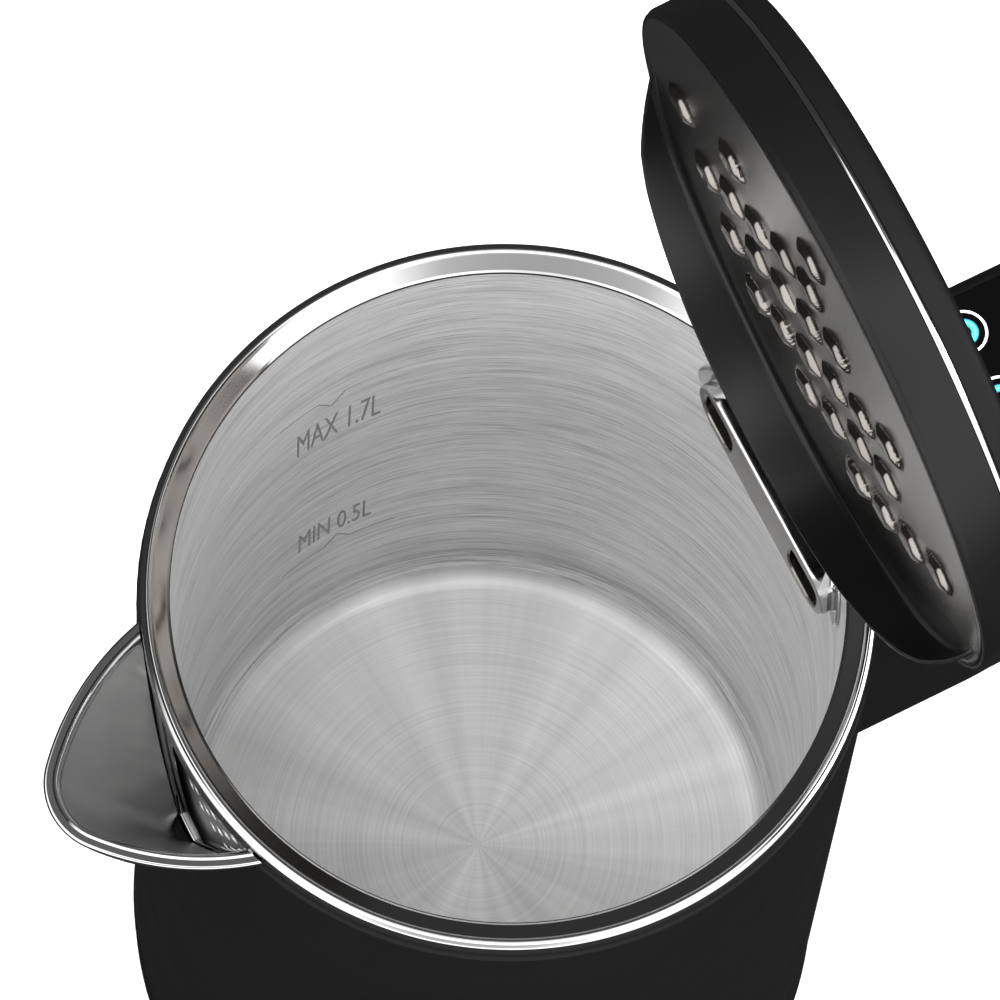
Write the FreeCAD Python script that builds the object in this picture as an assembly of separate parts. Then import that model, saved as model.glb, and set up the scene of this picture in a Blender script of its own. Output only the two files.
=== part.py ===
import FreeCAD, Part
import math
import os

# Cordless electric kettle with an open lid, on a round power base.
# +Z is up, the spout points along -X, the handle and the lid hinge are at +X.
# The origin is the centre of the power base's footprint, on the kettle's axis.

V = FreeCAD.Vector

# ---- driving dimensions (mm) ----
BASE_R = 74.8            # power base
BASE_TOP = 19.0
TOWER_R = 20.0           # round electrical connector on the base
TOWER_TOP = 32.0

JUG_BOTTOM = 20.2
JUG_R_LOW = 74.4         # outer shell, at its foot and at its top
JUG_R_TOP = 68.6
SHELL_TOP = 241.3
SHELL_WALL = 2.4

FLOOR_Z = 55.0           # water vessel
SEAM_Z = 245.0           # where the vessel meets its rim
VESSEL_R_LOW = 64.0
VESSEL_R_TOP = 62.5
VESSEL_WALL = 0.8

RIM_R = 67.8             # polished rim
RIM_CREST = 247.5

SPOUT_REACH = 93.7       # tip of the spout from the axis
SPOUT_HALF_W = 27.3      # half its width where it runs into the jug
SPOUT_TIP_R = 13.4
SPOUT_FLANK_R = 54.0     # bow of its flanks
LIP_Z = 242.8            # underside of the spout's flat lip

HANDLE_HALF_W = 17.0
HANDLE_TOP = 245.3
HANDLE_REACH = 135.0
PANEL_HALF_W = 14.3
HANDLE_SCREWS = [(y, z) for z in (76.0, 87.0) for y in (-10.0, 10.0)]

HINGE_X = 64.5           # lid hinge pin, along Y
HINGE_Z = 249.2
PIN_R = 1.25
LID_OPEN = 85.0          # degrees from closed; the lid is drawn open

LID_Z = 246.8            # underside of the closed lid
LID_R = 64.6
PAN_R = 63.3
LID_CAP_TOP = LID_Z + 16.4
SKIRT_R = 61.1
LEAF_PITCH = 9.6

VENT_X = 54.0            # vent housing inside the vessel
VENT_Z = 225.0
VENT_HALF_L = 25.0
VENT_H = 14.0
WINDOW_Y = 17.0


def revolve(points):
    """Solid of revolution about Z from (radius, z) points; a 3-tuple ('arc', mid, end) bends."""
    edges = []
    here = V(points[0][0], 0, points[0][1])
    for item in points[1:] + [points[0]]:
        if item[0] == "arc":
            mid = V(item[1][0], 0, item[1][1])
            end = V(item[2][0], 0, item[2][1])
            edges.append(Part.Arc(here, mid, end).toShape())
        else:
            end = V(item[0], 0, item[1])
            if end.distanceToPoint(here) < 1e-6:
                continue
            edges.append(Part.makeLine(here, end))
        here = end
    face = Part.Face(Part.Wire(edges))
    return face.revolve(V(0, 0, 0), V(0, 0, 1), 360)


def tube(r_out, r_in, z0, z1):
    body = Part.makeCylinder(r_out, z1 - z0, V(0, 0, z0))
    if r_in <= 0:
        return body
    return body.cut(Part.makeCylinder(r_in, z1 - z0 + 2, V(0, 0, z0 - 1)))


def block(x0, x1, y0, y1, z0, z1):
    return Part.makeBox(x1 - x0, y1 - y0, z1 - z0, V(x0, y0, z0))


def rod(r, p, q):
    d = V(*q).sub(V(*p))
    return Part.makeCylinder(r, d.Length, V(*p), d)


def polar(r, degrees, z):
    a = math.radians(degrees)
    return (r * math.cos(a), r * math.sin(a), z)


def prism_xz(points, half_width):
    """Extrude a closed outline in the XZ plane to both sides of it; arcs as in revolve."""
    edges = []
    here = V(points[0][0], -half_width, points[0][1])
    for item in points[1:] + [points[0]]:
        if item[0] == "arc":
            mid = V(item[1][0], -half_width, item[1][1])
            end = V(item[2][0], -half_width, item[2][1])
            edges.append(Part.Arc(here, mid, end).toShape())
        else:
            end = V(item[0], -half_width, item[1])
            if end.distanceToPoint(here) < 1e-6:
                continue
            edges.append(Part.makeLine(here, end))
        here = end
    return Part.Face(Part.Wire(edges)).extrude(V(0, 2 * half_width, 0))


def stadium(x0, x1, z_mid, half_l, height):
    """Plate with round ends, lying across Y, from x0 to x1."""
    r = height / 2.0
    side = half_l - r
    plate = block(x0, x1, -side, side, z_mid - r, z_mid + r)
    for y in (-side, side):
        plate = plate.fuse(rod(r, (x0, y, z_mid), (x1, y, z_mid)))
    return plate.removeSplitter()


def shell_inside_r(z):
    """Inside radius of the jug's shell at height z."""
    t = (z - 23.0) / (239.0 - 23.0)
    return JUG_R_LOW - 0.1 - SHELL_WALL + t * (JUG_R_TOP - JUG_R_LOW + 0.1)


def save(name, shape):
    shape.exportStep("parts/%s.step" % name)
    print("%-22s solids %d volume %.1f valid %s"
          % (name, len(shape.Solids), shape.Volume, shape.isValid()))


# ---- power base ----
POSTS = [polar(52.0, a, 0) for a in (60, 180, 300)]


def base_shell():
    shell = revolve([(BASE_R, 3.4), (BASE_R, 14.0),
                     ("arc", (BASE_R - 1.1, 17.4), (BASE_R - 4.4, BASE_TOP)),
                     (30.4, BASE_TOP), (30.4, 17.8), (24.3, 17.8), (24.3, BASE_TOP),
                     (TOWER_R + 0.2, BASE_TOP), (TOWER_R + 0.2, 16.4), (BASE_R - 5.0, 16.4),
                     (BASE_R - 2.4, 13.8), (BASE_R - 2.4, 3.4)])
    for x, y, _ in POSTS:
        post = rod(4.0, (x, y, 3.4), (x, y, 16.6)).cut(rod(1.45, (x, y, 3.0), (x, y, 13.0)))
        shell = shell.fuse(post)
    shell = shell.cut(rod(4.4, (68, 0, 9.5), (80, 0, 9.5)))
    return shell


def base_plate():
    plate = tube(BASE_R - 0.6, 0, 1.4, 3.4)
    for x, y, _ in POSTS:
        plate = plate.cut(rod(3.1, (x, y, 1.0), (x, y, 2.2)))
        plate = plate.cut(rod(1.6, (x, y, 1.0), (x, y, 4.0)))
    return plate


def base_feet():
    pads = [rod(7.0, polar(62.0, a, 0), polar(62.0, a, 1.4)) for a in (45, 135, 225, 315)]
    pads.append(rod(12.0, (0, 0, 0), (0, 0, 1.4)))
    return Part.makeCompound(pads)


def base_screws():
    screws = []
    for x, y, _ in POSTS:
        head = rod(3.0, (x, y, 0.9), (x, y, 2.2)).cut(rod(1.2, (x, y, 0.5), (x, y, 1.7)))
        screws.append(head.fuse(rod(1.4, (x, y, 2.2), (x, y, 11.0))))
    return Part.makeCompound(screws)


def base_connector():
    return revolve([(4.0, 5.0), (4.0, TOWER_TOP), (11.4, TOWER_TOP), (11.4, 19.0), (15.6, 19.0),
                    (15.6, TOWER_TOP), (TOWER_R - 1.0, TOWER_TOP),
                    ("arc", (TOWER_R - 0.3, TOWER_TOP - 0.3), (TOWER_R, TOWER_TOP - 1.0)),
                    (TOWER_R, 16.3), (26.0, 16.3), (26.0, 14.3), (TOWER_R, 14.3), (TOWER_R, 5.0)])


def terminal_block():
    body = block(36, 56, -9, 9, 3.4, 12.0)
    for y in (-5.0, 0.0, 5.0):
        body = body.cut(rod(1.6, (46, y, 6.0), (46, y, 13.0)))
    return body


def cord_gland():
    x = BASE_R
    body = rod(4.3, (x - 9.0, 0, 9.5), (x + 2.5, 0, 9.5))
    body = body.fuse(rod(6.2, (x + 0.1, 0, 9.5), (x + 3.5, 0, 9.5)))
    body = body.fuse(rod(5.4, (x - 6.6, 0, 9.5), (x - 3.8, 0, 9.5)))
    return body.cut(rod(3.0, (60, 0, 9.5), (90, 0, 9.5)))


# ---- jug ----
def outer_shell():
    w = SHELL_WALL
    shell = revolve([(JUG_R_LOW - 1.4, JUG_BOTTOM),
                     ("arc", (JUG_R_LOW - 0.4, 20.9), (JUG_R_LOW - 0.1, 23.0)),
                     (JUG_R_TOP, SHELL_TOP - 1.0),
                     ("arc", (JUG_R_TOP - 0.2, 241.1), (JUG_R_TOP - 0.7, SHELL_TOP)),
                     (64.4, SHELL_TOP), (64.4, 239.0), (JUG_R_TOP - w, 239.0),
                     (JUG_R_LOW - w - 0.1, 23.0), (JUG_R_LOW - w - 0.1, JUG_BOTTOM)])
    shell = shell.cut(spout_body(1.9, 246.3))
    shell = shell.cut(block(50, 80, -23.0, 23.0, 235.8, 250))
    shell = shell.cut(block(60, 80, -12.2, 12.2, 219.0, 231.0))
    for y, z in HANDLE_SCREWS:
        shell = shell.cut(rod(1.6, (60, y, z), (90, y, z)))
    return shell.cut(rod(3.4, (60, 0, 76), (90, 0, 76)))


def strainer_holes():
    holes = []
    for row in range(9):
        z = 198.0 + 4.6 * row
        shift = 2.1 * (row % 2)
        for k in range(-4, 5):
            a = 180.0 + 4.2 * k + shift
            holes.append(rod(1.2, polar(55.0, a, z), polar(70.0, a, z)))
    return Part.makeCompound(holes)


def vessel():
    w = VESSEL_WALL
    body = revolve([(0, FLOOR_Z), (57.0, FLOOR_Z), ("arc", (61.9, 57.1), (VESSEL_R_LOW, 62.0)),
                    (VESSEL_R_TOP, SEAM_Z - 0.4), (VESSEL_R_TOP + w, SEAM_Z - 0.4),
                    (VESSEL_R_LOW + w, 62.0), ("arc", (62.5, 56.5), (57.0, FLOOR_Z - w)),
                    (0, FLOOR_Z - w)])
    for y in (-WINDOW_Y, WINDOW_Y):
        body = body.cut(block(50, 66, y - 5.5, y + 5.5, VENT_Z - 4.5, VENT_Z + 4.5))
    return body.cut(strainer_holes())


def rim_gasket():
    ring = tube(64.1, 62.35, SEAM_Z - 0.4, SEAM_Z + 0.15)
    return ring


def rim_ring():
    ring = revolve([(VESSEL_R_TOP, SEAM_Z + 0.15), (66.0, 247.2),
                    ("arc", (66.9, RIM_CREST), (RIM_R, 246.6)), (RIM_R, SHELL_TOP),
                    (64.5, SHELL_TOP), (64.5, 244.0), (64.15, 244.0), (64.15, SEAM_Z + 0.15)])
    return ring.cut(block(50, 80, -23.0, 23.0, 230, 260))


def spout_outline(z, reach, root_w, tip_r, flank_r, inset):
    """Outline of the spout at height z: a round tip and bowed flanks that run into the jug."""
    cx = -(reach - tip_r)
    root = V(-56.0 - cx, root_w, 0)
    along = (2 * tip_r * flank_r - root.Length ** 2 - tip_r ** 2) / (2 * (flank_r - tip_r))
    a = math.atan2(root.y, root.x) + math.acos(along / root.Length)
    fx = cx - (flank_r - tip_r) * math.cos(a)
    fy = -(flank_r - tip_r) * math.sin(a)
    r = flank_r - inset
    root_a = math.acos((-56.0 - fx) / r)
    mid_a = (a + root_a) / 2
    points = [(fx + r * math.cos(b), fy + r * math.sin(b)) for b in (root_a, mid_a, a)]
    side = [V(x, y, z) for x, y in points]
    mirror = [V(x, -y, z) for x, y in points]
    edges = [Part.Arc(side[0], side[1], side[2]).toShape(),
             Part.Arc(side[2], V(-reach + inset, 0, z), mirror[2]).toShape(),
             Part.Arc(mirror[2], mirror[1], mirror[0]).toShape(),
             Part.makeLine(mirror[0], side[0])]
    return Part.Wire(edges)


def spout_body(inset, top=246.2):
    """Loft of the pouring channel; inset 0 is its outside."""
    levels = [(186.0, 72.0, 9.0, 5.0, 22.0), (202.0, 78.5, 15.0, 8.0, 34.0),
              (222.0, 87.0, 21.5, 11.0, 45.0),
              (top, SPOUT_REACH, SPOUT_HALF_W, SPOUT_TIP_R, SPOUT_FLANK_R)]
    return Part.makeLoft([spout_outline(*level, inset) for level in levels], True, False)


def spout_shell():
    body = spout_body(0.0).cut(spout_body(1.9, 246.3))
    body = body.common(block(-100, 0, -40, 40, 180, LIP_Z))
    return body.cut(jug_envelope(0.02))


def jug_envelope(gap):
    """Filled outline of the jug, used to trim what is fixed to its outside."""
    return revolve([(0, 10), (JUG_R_LOW + gap, 10), (JUG_R_LOW + gap, 23.0),
                    (JUG_R_TOP + gap, SHELL_TOP - 1.0), (JUG_R_TOP + gap, SHELL_TOP + 0.1),
                    (67.9 + gap, SHELL_TOP + 0.1), (67.9 + gap, 260), (0, 260)])


def spout_liner():
    body = spout_body(2.0, 246.3).cut(spout_body(2.8, 246.3))
    body = body.common(block(-100, 0, -40, 40, 180, LIP_Z + 0.3))
    body = body.cut(vessel_envelope(0.1)).fuse(spout_rim(LIP_Z + 0.03, LIP_Z + 2.4))
    return body.cut(tube(RIM_R + 0.6, 0, SHELL_TOP - 2.4, 260)).removeSplitter()


def spout_rim(z0, z1):
    """Flat polished lip round the mouth of the spout."""
    size = (SPOUT_REACH, SPOUT_HALF_W, SPOUT_TIP_R, SPOUT_FLANK_R)
    outer = Part.Face(spout_outline(z0, *size, -0.2)).extrude(V(0, 0, z1 - z0))
    inner = Part.Face(spout_outline(z0 - 1, *size, 3.0)).extrude(V(0, 0, z1 - z0 + 2))
    return outer.cut(inner)


def vessel_envelope(gap):
    return revolve([(0, 40), (VESSEL_R_LOW + VESSEL_WALL + gap, 40),
                    (VESSEL_R_LOW + VESSEL_WALL + gap, 62.0),
                    (VESSEL_R_TOP + VESSEL_WALL + gap, SEAM_Z), (0, SEAM_Z)])


def vent_housing():
    """Polished cover over the steam openings, high on the vessel wall at the handle side."""
    shell = stadium(VENT_X, 64.0, VENT_Z, VENT_HALF_L, VENT_H)
    shell = shell.cut(stadium(VENT_X + 1.2, 66.0, VENT_Z, VENT_HALF_L - 1.2, VENT_H - 2.4))
    flange = stadium(50.0, 64.0, VENT_Z, VENT_HALF_L + 3.0, VENT_H + 6.0)
    flange = flange.cut(stadium(49.0, 66.0, VENT_Z, VENT_HALF_L - 0.2, VENT_H - 0.4))
    flange = flange.cut(tube(61.2, 0, 200, 250))
    body = shell.fuse(flange)
    for y in (-WINDOW_Y, WINDOW_Y):
        body = body.cut(block(50, 56, y - 5.4, y + 5.4, VENT_Z - 4.2, VENT_Z + 4.2))
    return body.common(tube(62.55, 0, 200, 250))


def steam_duct():
    """Short duct from the vessel wall to the head of the handle."""
    chamber = block(50, 70, -24.0, 24.0, 219.2, 230.8).common(tube(66.1, 0, 210, 240))
    duct = chamber.fuse(block(60, 76, -12.0, 12.0, 219.2, 230.8))
    hollow = block(49, 71, -22.6, 22.6, 220.6, 229.4).common(tube(64.9, 0, 210, 240))
    duct = duct.cut(hollow).cut(block(55, 80, -10.6, 10.6, 220.6, 229.4))
    return duct.cut(vessel_envelope(0.1))


def hinge_block():
    seat = tube(67.8, 63.9, 236.0, 246.2).common(block(50, 80, -22.8, 22.8, 230, 250))
    seat = seat.cut(tube(64.2, 0, 244.5, 245.3))
    for y in (-19.6, 19.6):
        y0 = y - 2.4
        lug = block(61.9, 67.1, y0, y0 + 4.8, 246.2, HINGE_Z)
        lug = lug.fuse(rod(2.7, (HINGE_X, y0, HINGE_Z), (HINGE_X, y0 + 4.8, HINGE_Z)))
        foot = block(61.9, 67.1, y0, y0 + 4.8, 245.4, 246.3)
        seat = seat.fuse(lug).fuse(foot)
    return seat.cut(rod(PIN_R, (HINGE_X, -30, HINGE_Z), (HINGE_X, 30, HINGE_Z))).removeSplitter()


def hinge_pin():
    return rod(PIN_R, (HINGE_X, -22.4, HINGE_Z), (HINGE_X, 22.4, HINGE_Z))


def heating_plate():
    plate = tube(61.0, 0, 49.6, FLOOR_Z - 0.9)
    return plate.cut(rod(3.2, (18, 0, 45), (18, 0, 56)))


def heating_element():
    ring = Part.makeTorus(44.0, 4.0, V(0, 0, 45.6), V(0, 0, 1), 0, 360, 320)
    ring.rotate(V(0, 0, 0), V(0, 0, 1), 110)
    ends = []
    for a in (110, 70):
        x, y, _ = polar(44.0, a, 0)
        ends.append(rod(2.6, (x, y, 45.6), (x, y, 34.0)))
    return ring.fuse(ends[0]).fuse(ends[1])


def temperature_sensor():
    probe = rod(3.1, (18, 0, 44.0), (18, 0, FLOOR_Z - 1.0))
    return probe.fuse(rod(5.0, (18, 0, 42.0), (18, 0, 49.4)))


def dry_boil_control():
    body = block(-30, 12, -14, 14, 40.5, 49.4)
    body = body.cut(rod(3.0, (-20, 0, 44), (-20, 0, 52)))
    return body.cut(block(-31, -26, -8, 8, 43, 52))


def jug_connector():
    cup = revolve([(0, 24.0), (3.2, 24.0), (3.2, 36.2), (13.2, 36.2), (13.2, 23.0), (13.9, 23.0),
                   (13.9, 36.2), (21.4, 36.2), (21.4, 40.2), (0, 40.2)])
    return cup


def jug_base_cover():
    r = JUG_R_LOW - 2.8
    cover = revolve([(21.8, 20.2), (r, 20.2), (r, 27.0), (r - 2.0, 27.0), (r - 2.0, 22.4),
                     (23.8, 22.4), (23.8, 40.0), (21.8, 40.0)])
    for a in (30, 150, 270):
        x, y, _ = polar(58.0, a, 0)
        cover = cover.cut(rod(1.7, (x, y, 19), (x, y, 24)))
        cover = cover.cut(rod(3.0, (x, y, 19), (x, y, 21.3)))
    return cover


def bottom_frame():
    """Ring with posts that carries the vessel and takes the cover's screws."""
    ring = tube(70.9, 61.8, 42.0, 49.0)
    for a in (30, 150, 270):
        x, y, _ = polar(58.0, a, 0)
        ring = ring.fuse(rod(5.0, (x, y, 22.4), (x, y, 44.0)))
    ring = ring.common(tube(71.6, 50.0, 20, 60))
    for a in (30, 150, 270):
        x, y, _ = polar(58.0, a, 0)
        ring = ring.cut(rod(1.45, (x, y, 20), (x, y, 38)))
    return ring.cut(block(60, 80, -6, 6, 40, 60))


def jug_screws():
    screws = []
    for a in (30, 150, 270):
        x, y, _ = polar(58.0, a, 0)
        head = rod(2.9, (x, y, 20.3), (x, y, 21.3)).cut(rod(1.1, (x, y, 20), (x, y, 21.0)))
        screws.append(head.fuse(rod(1.4, (x, y, 21.3), (x, y, 34.0))))
    return Part.makeCompound(screws)


# ---- handle ----
def handle_outside():
    outline = [(60, HANDLE_TOP), (121, HANDLE_TOP), ("arc", (131.2, 240.9), (HANDLE_REACH, 230)),
               (131, 92), ("arc", (125.0, 73.5), (108, 65)), (60, 65)]
    body = prism_xz(outline, HANDLE_HALF_W)
    long_edges = []
    for edge in body.Edges:
        box = edge.BoundBox
        on_side = abs(abs(box.YMin) - HANDLE_HALF_W) < 1e-3 and box.YLength < 1e-3
        if on_side and box.XMax > 61:
            long_edges.append(edge)
    return body.makeFillet(3.0, long_edges)


def finger_gap():
    return prism_xz([(50, 219), (104, 219), ("arc", (109.0, 216.8), (111, 211)),
                     (107.5, 104), ("arc", (104.6, 97.6), (98, 95)), (50, 92)], 40)


def handle_spine():
    """Outer strip of the grip; it closes the wiring channel."""
    full = handle_outside()
    moved = full.copy()
    moved.translate(V(-4.0, 0, 0))
    strip = full.cut(moved)
    return strip.common(block(110, 150, -11.5, 11.5, 84.0, 226.0))


def handle_body():
    body = handle_outside().cut(finger_gap()).cut(jug_envelope(0.05))
    body = body.cut(handle_spine())
    body = body.cut(block(71.5, 127.0, -PANEL_HALF_W, PANEL_HALF_W, HANDLE_TOP - 1.8, 260))
    body = body.cut(block(76.0, 122.0, -12.5, 12.5, 233.0, 250))
    body = body.cut(block(117.0, 140.0, -5, 5, 84.2, 225.8))
    body = body.cut(block(117.0, 125.0, -5, 5, 71.0, 240.0))
    body = body.cut(block(66, 125.0, -5, 5, 71.0, 81.0))
    body = body.cut(block(60, 77.0, -12.1, 12.1, 219.1, 230.9))
    body = body.cut(block(75, 86.0, -9.0, 9.0, 222.0, 240.0))
    for y, z in HANDLE_SCREWS:
        body = body.cut(rod(1.45, (70, y, z), (88, y, z)))
    return body


def handle_screws():
    screws = []
    for y, z in HANDLE_SCREWS:
        x_in = math.sqrt((shell_inside_r(z) - 0.1) ** 2 - 169.0)
        head = rod(3.0, (x_in - 1.6, y, z), (x_in, y, z))
        screws.append(head.fuse(rod(1.4, (x_in, y, z), (86.0, y, z))))
    return Part.makeCompound(screws)


def touch_panel():
    z1 = HANDLE_TOP - 0.1
    plate = block(71.7, 126.8, -PANEL_HALF_W + 0.1, PANEL_HALF_W - 0.1, z1 - 1.6, z1)
    edges = [e for e in plate.Edges if e.BoundBox.ZLength > 1.0]
    plate = plate.makeFillet(2.0, edges)
    return plate.cut(white_rings()).cut(blue_rings())


ICON_SPOTS = [(x, y) for x in (83.0, 99.5, 116.0) for y in (-7.2, 7.2)]


def icon_ring(x, y, r_out, r_in):
    z1 = HANDLE_TOP - 0.1
    ring = rod(r_out, (x, y, z1 - 0.6), (x, y, z1))
    return ring.cut(rod(r_in, (x, y, z1 - 1), (x, y, z1 + 1)))


def white_rings():
    return Part.makeCompound([icon_ring(x, y, 4.4, 3.9) for x, y in ICON_SPOTS])


def blue_rings():
    return Part.makeCompound([icon_ring(x, y, 2.7, 1.2) for x, y in ICON_SPOTS])


def control_board():
    board = block(77.0, 121.0, -11.5, 11.5, 239.4, 241.0)
    for x, y in ICON_SPOTS:
        board = board.fuse(block(x - 1.5, x + 1.5, y - 1.5, y + 1.5, 240.9, 242.8))
    board = board.fuse(block(88.0, 98.0, -5, 5, 236.4, 239.5))
    return board


def wire_harness():
    """Insulated wires from the control unit, up through the grip, to the board."""
    path = [V(32, 0, 35), V(68.1, 0, 35), V(68.1, 0, 76), V(120.6, 0, 76), V(120.6, 0, 237.6)]
    parts = []
    for p, q in zip(path[:-1], path[1:]):
        parts.append(Part.makeCylinder(1.8, p.distanceToPoint(q), p, q.sub(p)))
    body = parts[0]
    for piece in parts[1:]:
        body = body.fuse(piece)
    for p in path[1:-1]:
        body = body.fuse(Part.makeSphere(1.8, p))
    return body


# ---- lid, drawn closed and then swung open ----
def swing_open(shape):
    shape.rotate(V(HINGE_X, 0, HINGE_Z), V(0, 1, 0), LID_OPEN)
    return shape


def lug_clearance():
    cuts = []
    for y in (-19.6, 19.6):
        cuts.append(rod(3.3, (HINGE_X, y - 2.8, HINGE_Z), (HINGE_X, y + 2.8, HINGE_Z)))
    return Part.makeCompound(cuts)


def lid_hinge_arm():
    arm = rod(2.6, (HINGE_X, -16.8, HINGE_Z), (HINGE_X, 16.8, HINGE_Z))
    arm = arm.fuse(block(52.0, HINGE_X, -16.8, 16.8, 249.6, 251.6))
    arm = arm.cut(rod(PIN_R + 0.06, (HINGE_X, -30, HINGE_Z), (HINGE_X, 30, HINGE_Z)))
    for y in (-9.0, 9.0):
        arm = arm.cut(rod(1.6, (55.5, y, 245), (55.5, y, 255)))
    return arm.removeSplitter()


def lid_ring():
    ring = revolve([(63.4, LID_Z), (64.0, LID_Z), (LID_R, LID_Z + 1.2), (LID_R, LID_Z + 9.7),
                    (62.0, LID_Z + 9.7), (62.0, 249.6), (50.0, 249.6), (50.0, 247.6), (63.4, 247.6)])
    ring = ring.cut(rod(2.6, (HINGE_X, -16.8, HINGE_Z), (HINGE_X, 16.8, HINGE_Z)))
    ring = ring.cut(block(52.0, HINGE_X + 3, -16.8, 16.8, 249.6, 251.6))
    for y in (-9.0, 9.0):
        ring = ring.cut(rod(1.3, (55.5, y, 245), (55.5, y, 255)))
    return ring.cut(lug_clearance())


def lid_screws():
    screws = []
    for y in (-9.0, 9.0):
        head = rod(2.8, (55.5, y, 251.6), (55.5, y, 253.2))
        screws.append(head.fuse(rod(1.25, (55.5, y, 248.0), (55.5, y, 251.6))))
    return Part.makeCompound(screws)


def lid_trim_ring():
    return tube(64.9, 60.8, LID_Z + 9.7, LID_Z + 10.8)


def lid_cap():
    z0 = LID_Z + 10.8
    return revolve([(64.4, z0), (64.4, LID_CAP_TOP - 2.6),
                    ("arc", (63.6, LID_CAP_TOP - 0.9), (61.8, LID_CAP_TOP - 0.2)),
                    (0, LID_CAP_TOP), (0, LID_CAP_TOP - 2.2), (61.0, LID_CAP_TOP - 2.4),
                    (62.2, LID_CAP_TOP - 3.2), (62.2, z0)])


def leaf_spots():
    """Staggered rows of leaf marks: (x, y) under the closed lid."""
    spots = []
    for col in range(-5, 6):
        y = LEAF_PITCH * col
        if col % 2:
            rows = (24.5, 4.0, -17.5) if abs(col) < 5 else (5.0,)
        elif col == 0:
            rows = (48.0, 32.0, 13.5, -7.0, -27.5)
        else:
            rows = (13.5, -3.5, -26.5) if abs(col) == 2 else (-7.0,)
        for row in rows:
            spots.append((-row, y))
    return spots


def leaf(x, y):
    """One pointed leaf, raised a little from the pan."""
    tip, half_w = 4.3, 3.4
    z0 = LID_Z - 0.7
    a, b = V(x, y - tip, z0), V(x, y + tip, z0)
    wire = Part.Wire([Part.Arc(a, V(x + half_w, y, z0), b).toShape(),
                      Part.Arc(b, V(x - half_w, y, z0), a).toShape()])
    return Part.Face(wire).extrude(V(0, 0, 0.9))


def lid_pan():
    """Pressed steel underside with a curved drip skirt at the hinge side."""
    pan = tube(PAN_R, 0, LID_Z, LID_Z + 0.8)
    skirt = tube(SKIRT_R, SKIRT_R - 0.8, LID_Z - 11.0, LID_Z + 0.4)
    keep = prism_xz([(6.0, LID_Z + 0.6), (6.0, LID_Z - 0.2), (14.0, LID_Z - 1.8), (28.5, LID_Z - 6.5),
                     (45.0, LID_Z - 9.0), (54.0, LID_Z - 10.0), (70.0, LID_Z - 10.4),
                     (70.0, LID_Z + 0.6)], 70)
    pan = pan.fuse(skirt.common(keep))
    leaves = [leaf(x, y) for x, y in leaf_spots()]
    pan = pan.multiFuse(leaves)
    pan = pan.cut(rod(2.9, (HINGE_X, -17.0, HINGE_Z), (HINGE_X, 17.0, HINGE_Z)))
    return pan.cut(lug_clearance())


# ---- turning ring of the connector ----
def swivel_ring():
    return tube(30.0, 24.6, 18.1, 19.7).fuse(tube(26.6, 24.6, 19.6, 19.8)).removeSplitter()


def contact_ring():
    return tube(15.5, 14.6, 19.1, 28.0)


def contact_sleeve():
    return tube(3.95, 3.5, 6.0, 28.0).fuse(tube(3.95, 0, 5.2, 6.2))


def main():
    os.makedirs("parts", exist_ok=True)
    fixed = {
        "base_shell": base_shell, "base_plate": base_plate, "base_feet": base_feet,
        "base_screws": base_screws, "base_connector": base_connector,
        "contact_ring": contact_ring, "contact_sleeve": contact_sleeve,
        "terminal_block": terminal_block, "cord_gland": cord_gland,
        "swivel_ring": swivel_ring,
        "outer_shell": outer_shell, "vessel": vessel, "rim_gasket": rim_gasket,
        "rim_ring": rim_ring, "spout_shell": spout_shell, "spout_liner": spout_liner,
        "vent_housing": vent_housing, "steam_duct": steam_duct,
        "hinge_block": hinge_block, "hinge_pin": hinge_pin,
        "heating_plate": heating_plate, "heating_element": heating_element,
        "temperature_sensor": temperature_sensor, "dry_boil_control": dry_boil_control,
        "jug_connector": jug_connector, "jug_base_cover": jug_base_cover,
        "bottom_frame": bottom_frame, "jug_screws": jug_screws,
        "handle_body": handle_body, "handle_spine": handle_spine,
        "handle_screws": handle_screws, "touch_panel": touch_panel,
        "white_rings": white_rings, "blue_rings": blue_rings,
        "control_board": control_board, "wire_harness": wire_harness,
    }
    lid = {
        "lid_hinge_arm": lid_hinge_arm, "lid_ring": lid_ring, "lid_screws": lid_screws,
        "lid_trim_ring": lid_trim_ring, "lid_cap": lid_cap, "lid_pan": lid_pan,
    }
    for name, make in fixed.items():
        save(name, make())
    for name, make in lid.items():
        save(name, swing_open(make()))


main()
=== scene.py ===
import math

import bmesh
import bpy
import numpy as np
from mathutils import Matrix, Vector


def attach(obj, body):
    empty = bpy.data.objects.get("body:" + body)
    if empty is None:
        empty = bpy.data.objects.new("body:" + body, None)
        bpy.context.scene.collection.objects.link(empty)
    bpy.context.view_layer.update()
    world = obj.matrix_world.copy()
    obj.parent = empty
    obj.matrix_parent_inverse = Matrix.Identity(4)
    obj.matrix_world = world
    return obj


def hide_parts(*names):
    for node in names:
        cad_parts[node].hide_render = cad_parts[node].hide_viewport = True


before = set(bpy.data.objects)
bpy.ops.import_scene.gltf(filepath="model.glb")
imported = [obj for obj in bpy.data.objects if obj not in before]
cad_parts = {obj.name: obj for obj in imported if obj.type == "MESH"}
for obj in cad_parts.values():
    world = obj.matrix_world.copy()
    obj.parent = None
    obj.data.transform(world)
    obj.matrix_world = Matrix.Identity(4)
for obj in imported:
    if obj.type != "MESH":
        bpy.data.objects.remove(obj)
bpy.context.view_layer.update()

MM = 0.001

# Sizes in millimetres, the same as the built parts.
SEAM_Z = 245.0            # top of the water vessel
FLOOR_Z = 55.0
VESSEL_R_TOP = 62.5
VESSEL_R_LOW = 64.0
RIM_R = 67.8
HINGE_X, HINGE_Z = 64.5, 249.2
LID_Z = 246.8             # underside of the closed lid
LID_OPEN = math.radians(85.0)
HANDLE_TOP = 245.3


# ------------------------------------------------------------------ mesh making

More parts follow.
